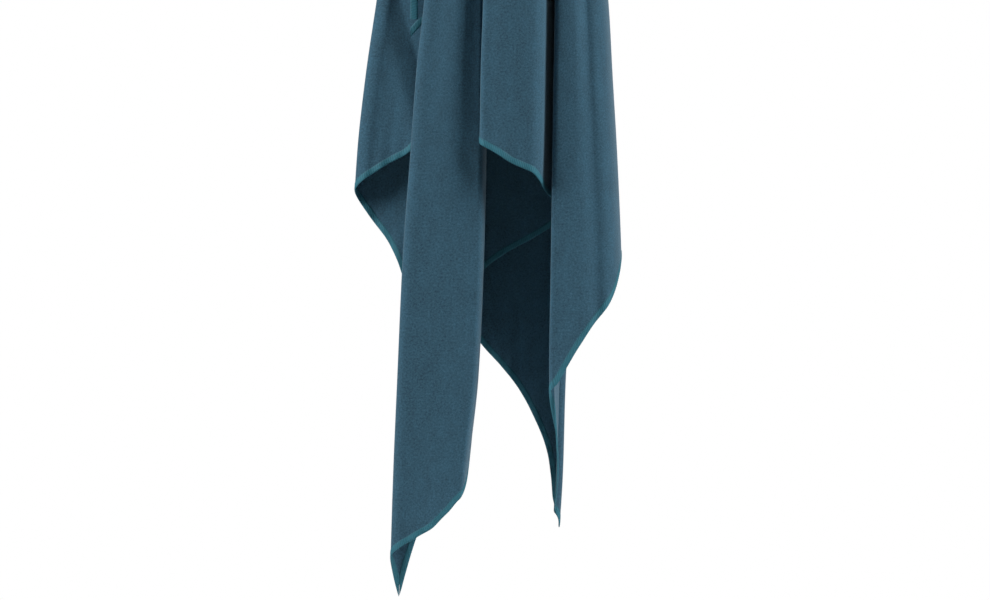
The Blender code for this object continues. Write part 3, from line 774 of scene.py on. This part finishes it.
def overlock_material():
    """Polyester thread looped over the edge: slanting strands, a line of needle stitches."""
    sh = Shader("overlock", OVERLOCK, 0.62, Specular_IOR_Level=0.3, Sheen_Weight=0.08,
                Sheen_Roughness=0.4, Sheen_Tint=(0.75, 0.92, 1.0, 1))
    place = sh.place()
    along = sh.node("SeparateXYZ", {0: place}, out="X")
    across = sh.math("MULTIPLY", sh.node("SeparateXYZ", {0: place}, out="Y"), 1 / HEM_W)
    slant = sh.math("MULTIPLY", across, STITCH_SLANT)
    slant = sh.math("ADD", sh.math("MULTIPLY", along, 1 / STITCH_PITCH), slant)
    strand = sh.math("ABSOLUTE", sh.math("SINE", sh.math("MULTIPLY", slant, math.pi)))
    fuzz = sh.noise(place, 2400, 2, 0.6)
    uneven = sh.noise(place, 160, 2)
    tone = sh.math("ADD", sh.fit(strand, 0.0, 0.9, 0.0, 0.62), sh.fit(fuzz, 0.3, 0.7, 0.0, 0.22))
    tone = sh.math("ADD", tone, sh.fit(uneven, 0.3, 0.7, 0.0, 0.16))
    colour = sh.blend(tone, [c * 0.66 for c in OVERLOCK], [c * 1.16 for c in OVERLOCK])
    needle = sh.math("ABSOLUTE", sh.math("SUBTRACT", across, 0.13))
    line = sh.fit(needle, 0.02, 0.09, 0.55, 0.0)
    colour = sh.blend(line, colour, [c * 0.45 for c in OVERLOCK])
    twist = sh.bump(fuzz, 0.5, 0.0002)
    return sh.use(Base_Color=colour, Roughness=sh.fit(fuzz, 0.3, 0.7, 0.5, 0.75), Normal=twist)


def webbing_material():
    """Flat woven tape: alternating warp and weft floats, fuzzy thread."""
    sh = Shader("webbing", WEBBING, 0.75, Specular_IOR_Level=0.3, Sheen_Weight=0.2, Sheen_Roughness=0.4)
    place = sh.place()
    warp = sh.node("SeparateXYZ", {0: place}, out="X")
    weft = sh.node("SeparateXYZ", {0: place}, out="Y")
    warp = sh.math("SINE", sh.math("MULTIPLY", warp, 2 * math.pi / WARP_PITCH))
    weft = sh.math("SINE", sh.math("MULTIPLY", weft, 2 * math.pi / WEFT_PITCH))
    weave = sh.fit(sh.math("MULTIPLY", warp, weft), -1, 1)
    fuzz = sh.noise(place, 3000, 2)
    wear = sh.noise(place, 220, 3)
    tone = sh.math("ADD", sh.math("MULTIPLY", weave, 0.6), sh.fit(fuzz, 0.3, 0.7, 0, 0.25))
    tone = sh.math("ADD", tone, sh.fit(wear, 0.35, 0.7, 0, 0.25))
    colour = sh.blend(tone, [c * 0.5 for c in WEBBING], [c * 1.35 for c in WEBBING])
    normal = sh.bump(fuzz, 0.4, 0.00015, sh.bump(weave, 0.6, 0.0002))
    return sh.use(Base_Color=colour, Roughness=sh.fit(wear, 0.3, 0.7, 0.65, 0.85), Normal=normal)


def plastic_material():
    """Satin moulded snap cap with a fine grain, and faint scuffs from use."""
    sh = Shader("snap_plastic", PLASTIC, 0.42, Specular_IOR_Level=0.5, Coat_Weight=0.08,
                Coat_Roughness=0.25)
    place = sh.object_place()
    grain = sh.noise(place, 4200, 2)
    scuff = sh.noise(sh.stretch(place, (1.0, 1.0, 0.2)), 900, 4, 0.7)
    marks = sh.fit(scuff, 0.60, 0.72, 0, 0.35)
    colour = sh.blend(marks, PLASTIC, [c * 1.9 + 0.01 for c in PLASTIC])
    rough = sh.math("ADD", sh.fit(grain, 0.3, 0.7, 0.34, 0.48), sh.math("MULTIPLY", marks, 0.5))
    return sh.use(Base_Color=colour, Roughness=rough, Normal=sh.bump(grain, 0.3, 0.00006))


def metal_material():
    """Nickel plate with fine scratches and slightly dull patches."""
    sh = Shader("snap_metal", METAL, 0.28, Metallic=1.0)
    place = sh.object_place()
    patches = sh.noise(place, 700, 3)
    scratch = sh.noise(sh.stretch(place, (1.0, 1.0, 9.0)), 1600, 2)
    colour = sh.blend(sh.fit(patches, 0.35, 0.7), METAL, [c * 0.72 for c in METAL])
    rough = sh.math("ADD", sh.fit(patches, 0.3, 0.7, 0.20, 0.34), sh.fit(scratch, 0.55, 0.7, 0.0, 0.12))
    return sh.use(Base_Color=colour, Roughness=rough, Normal=sh.bump(scratch, 0.25, 0.00004))


def thread_material():
    """Twisted sewing thread."""
    sh = Shader("sewing_thread", OVERLOCK, 0.6, Specular_IOR_Level=0.35, Sheen_Weight=0.15)
    place = sh.object_place()
    ply = sh.node("TexWave", {"Vector": place, "Scale": 900.0, "Distortion": 1.2}, out="Fac",
                  bands_direction="DIAGONAL")
    fuzz = sh.noise(place, 5000, 2)
    twist = sh.math("MULTIPLY", ply, fuzz)
    colour = sh.blend(twist, [c * 0.75 for c in OVERLOCK], [c * 1.6 for c in OVERLOCK])
    return sh.use(Base_Color=colour, Normal=sh.bump(ply, 0.4, 0.0001))


def floor_material():
    sh = Shader("pale_floor", (0.80, 0.81, 0.82), 0.7, Specular_IOR_Level=0.2)
    cloud = sh.noise(sh.object_place(), 3, 2)
    return sh.use(Base_Color=sh.blend(cloud, (0.78, 0.79, 0.80), (0.84, 0.85, 0.86)))


# ---- stage ------------------------------------------------------------------
def build_camera():
    """Level view from the front, framed on the lower part of the towel."""
    cam = bpy.data.cameras.new("camera")
    cam.lens = LENS
    cam.sensor_width = SENSOR
    cam.clip_end = 100
    obj = bpy.data.objects.new("camera", cam)
    distance = VIEW_WIDTH * LENS / SENSOR
    obj.location = (VIEW_CENTRE[0], -distance - FRONT_PLANE, VIEW_CENTRE[1])
    obj.rotation_euler = (math.radians(90), 0, 0)
    bpy.context.scene.collection.objects.link(obj)
    bpy.context.scene.camera = obj


def area_light(name, place, size, power, colour):
    light = bpy.data.lights.new(name, "AREA")
    light.shape = "RECTANGLE"
    light.size, light.size_y = size
    light.energy = power
    light.color = colour
    obj = bpy.data.objects.new(name, light)
    obj.location = place
    obj.rotation_euler = (Vector(LIT_POINT) - Vector(place)).to_track_quat("-Z", "Y").to_euler()
    obj.visible_camera = False
    bpy.context.scene.collection.objects.link(obj)


def build_world():
    """White to the eye, but only a weak fill on the object."""
    world = bpy.data.worlds.new("studio")
    bpy.context.scene.world = world
    world.use_nodes = True
    nodes, links = world.node_tree.nodes, world.node_tree.links
    nodes.clear()
    shown = []
    for colour, strength in ((FILL_COLOUR, FILL), ((1, 1, 1), 1.0)):
        back = nodes.new("ShaderNodeBackground")
        back.inputs["Color"].default_value = (*colour, 1)
        back.inputs["Strength"].default_value = strength
        shown.append(back.outputs[0])
    path = nodes.new("ShaderNodeLightPath")
    mix = nodes.new("ShaderNodeMixShader")
    out = nodes.new("ShaderNodeOutputWorld")
    for source, target in zip([path.outputs["Is Camera Ray"]] + shown, mix.inputs):
        links.new(source, target)
    links.new(mix.outputs[0], out.inputs[0])


def build_floor():
    low = CAD_BOX[0][2] - FLOOR_DROP
    corners = [(x * FLOOR_HALF, y * FLOOR_HALF, low) for x, y in ((-1, -1), (1, -1), (1, 1), (-1, 1))]
    floor = new_object("floor", corners, [(0, 1, 2, 3)], floor_material())


def build_stage():
    build_camera()
    build_world()
    build_floor()
    for light in LIGHTS:
        area_light(*light)
    bpy.context.scene.view_settings.view_transform = "Standard"


def main():
    build_towel(suede_material(), overlock_material())
    build_strap(webbing_material())
    build_snap(plastic_material(), metal_material())
    build_box_stitch(thread_material())
    build_stage()


main()
